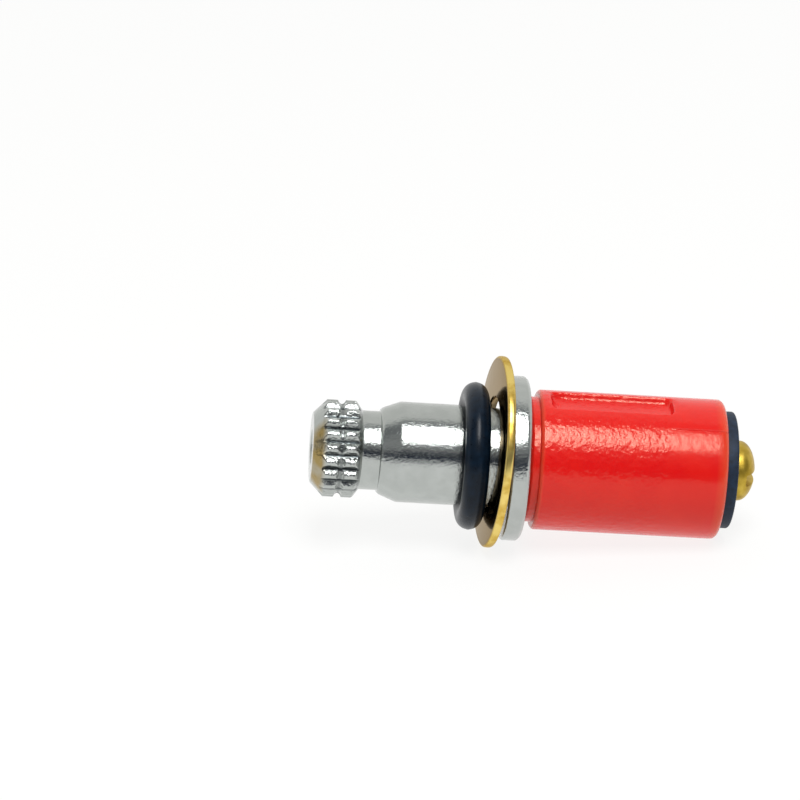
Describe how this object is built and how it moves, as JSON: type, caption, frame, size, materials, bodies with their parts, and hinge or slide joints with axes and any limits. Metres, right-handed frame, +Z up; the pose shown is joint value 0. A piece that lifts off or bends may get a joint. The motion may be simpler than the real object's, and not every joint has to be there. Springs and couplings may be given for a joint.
{
  "type": "faucet stem",
  "caption": "Chrome faucet stem with splined handle end, O-ring, brass washer and a keyed red plastic plunger that turning the stem drives out to its seat.",
  "frame": {"origin": "on the floor, under the middle of the stem as it lies at rest on its washer and its plunger", "axes": "+X along the stem from the handle end to the seat end, level; +Z up. The stem's own axis runs down towards +X by the few degrees that it leans when it lies."},
  "size_m": [0.063, 0.027, 0.0268],
  "materials": {
    "chrome_plate": "polished",
    "o_ring_rubber": "satin",
    "washer_brass": "satin",
    "red_plastic": "gloss",
    "seat_rubber": "matte",
    "screw_brass": "satin"
  },
  "bodies": {
    "washer": {"retaining_washer": "washer_brass"},
    "stem": {"stem_spindle": "chrome_plate", "stem_o_ring": "o_ring_rubber"},
    "plunger": {"plunger": "red_plastic", "seat_washer": "seat_rubber", "seat_screw": "screw_brass"}
  },
  "joints": [
    {"name": "stem_turn", "type": "hinge", "parent": "washer", "child": "stem", "pos_m": [-0.01112, -0.0001, 0.01317], "axis": [0.9958, 0, -0.0912], "range_deg": [0, 540]},
    {"name": "plunger_slide", "type": "slide", "parent": "washer", "child": "plunger", "axis": [0.9958, 0, -0.0912], "range_m": [0, 0.00635]}
  ],
  "couplings": [
    {"joint": "plunger_slide", "follows": "stem_turn", "m_per_rad": 0.00067376}
  ]
}
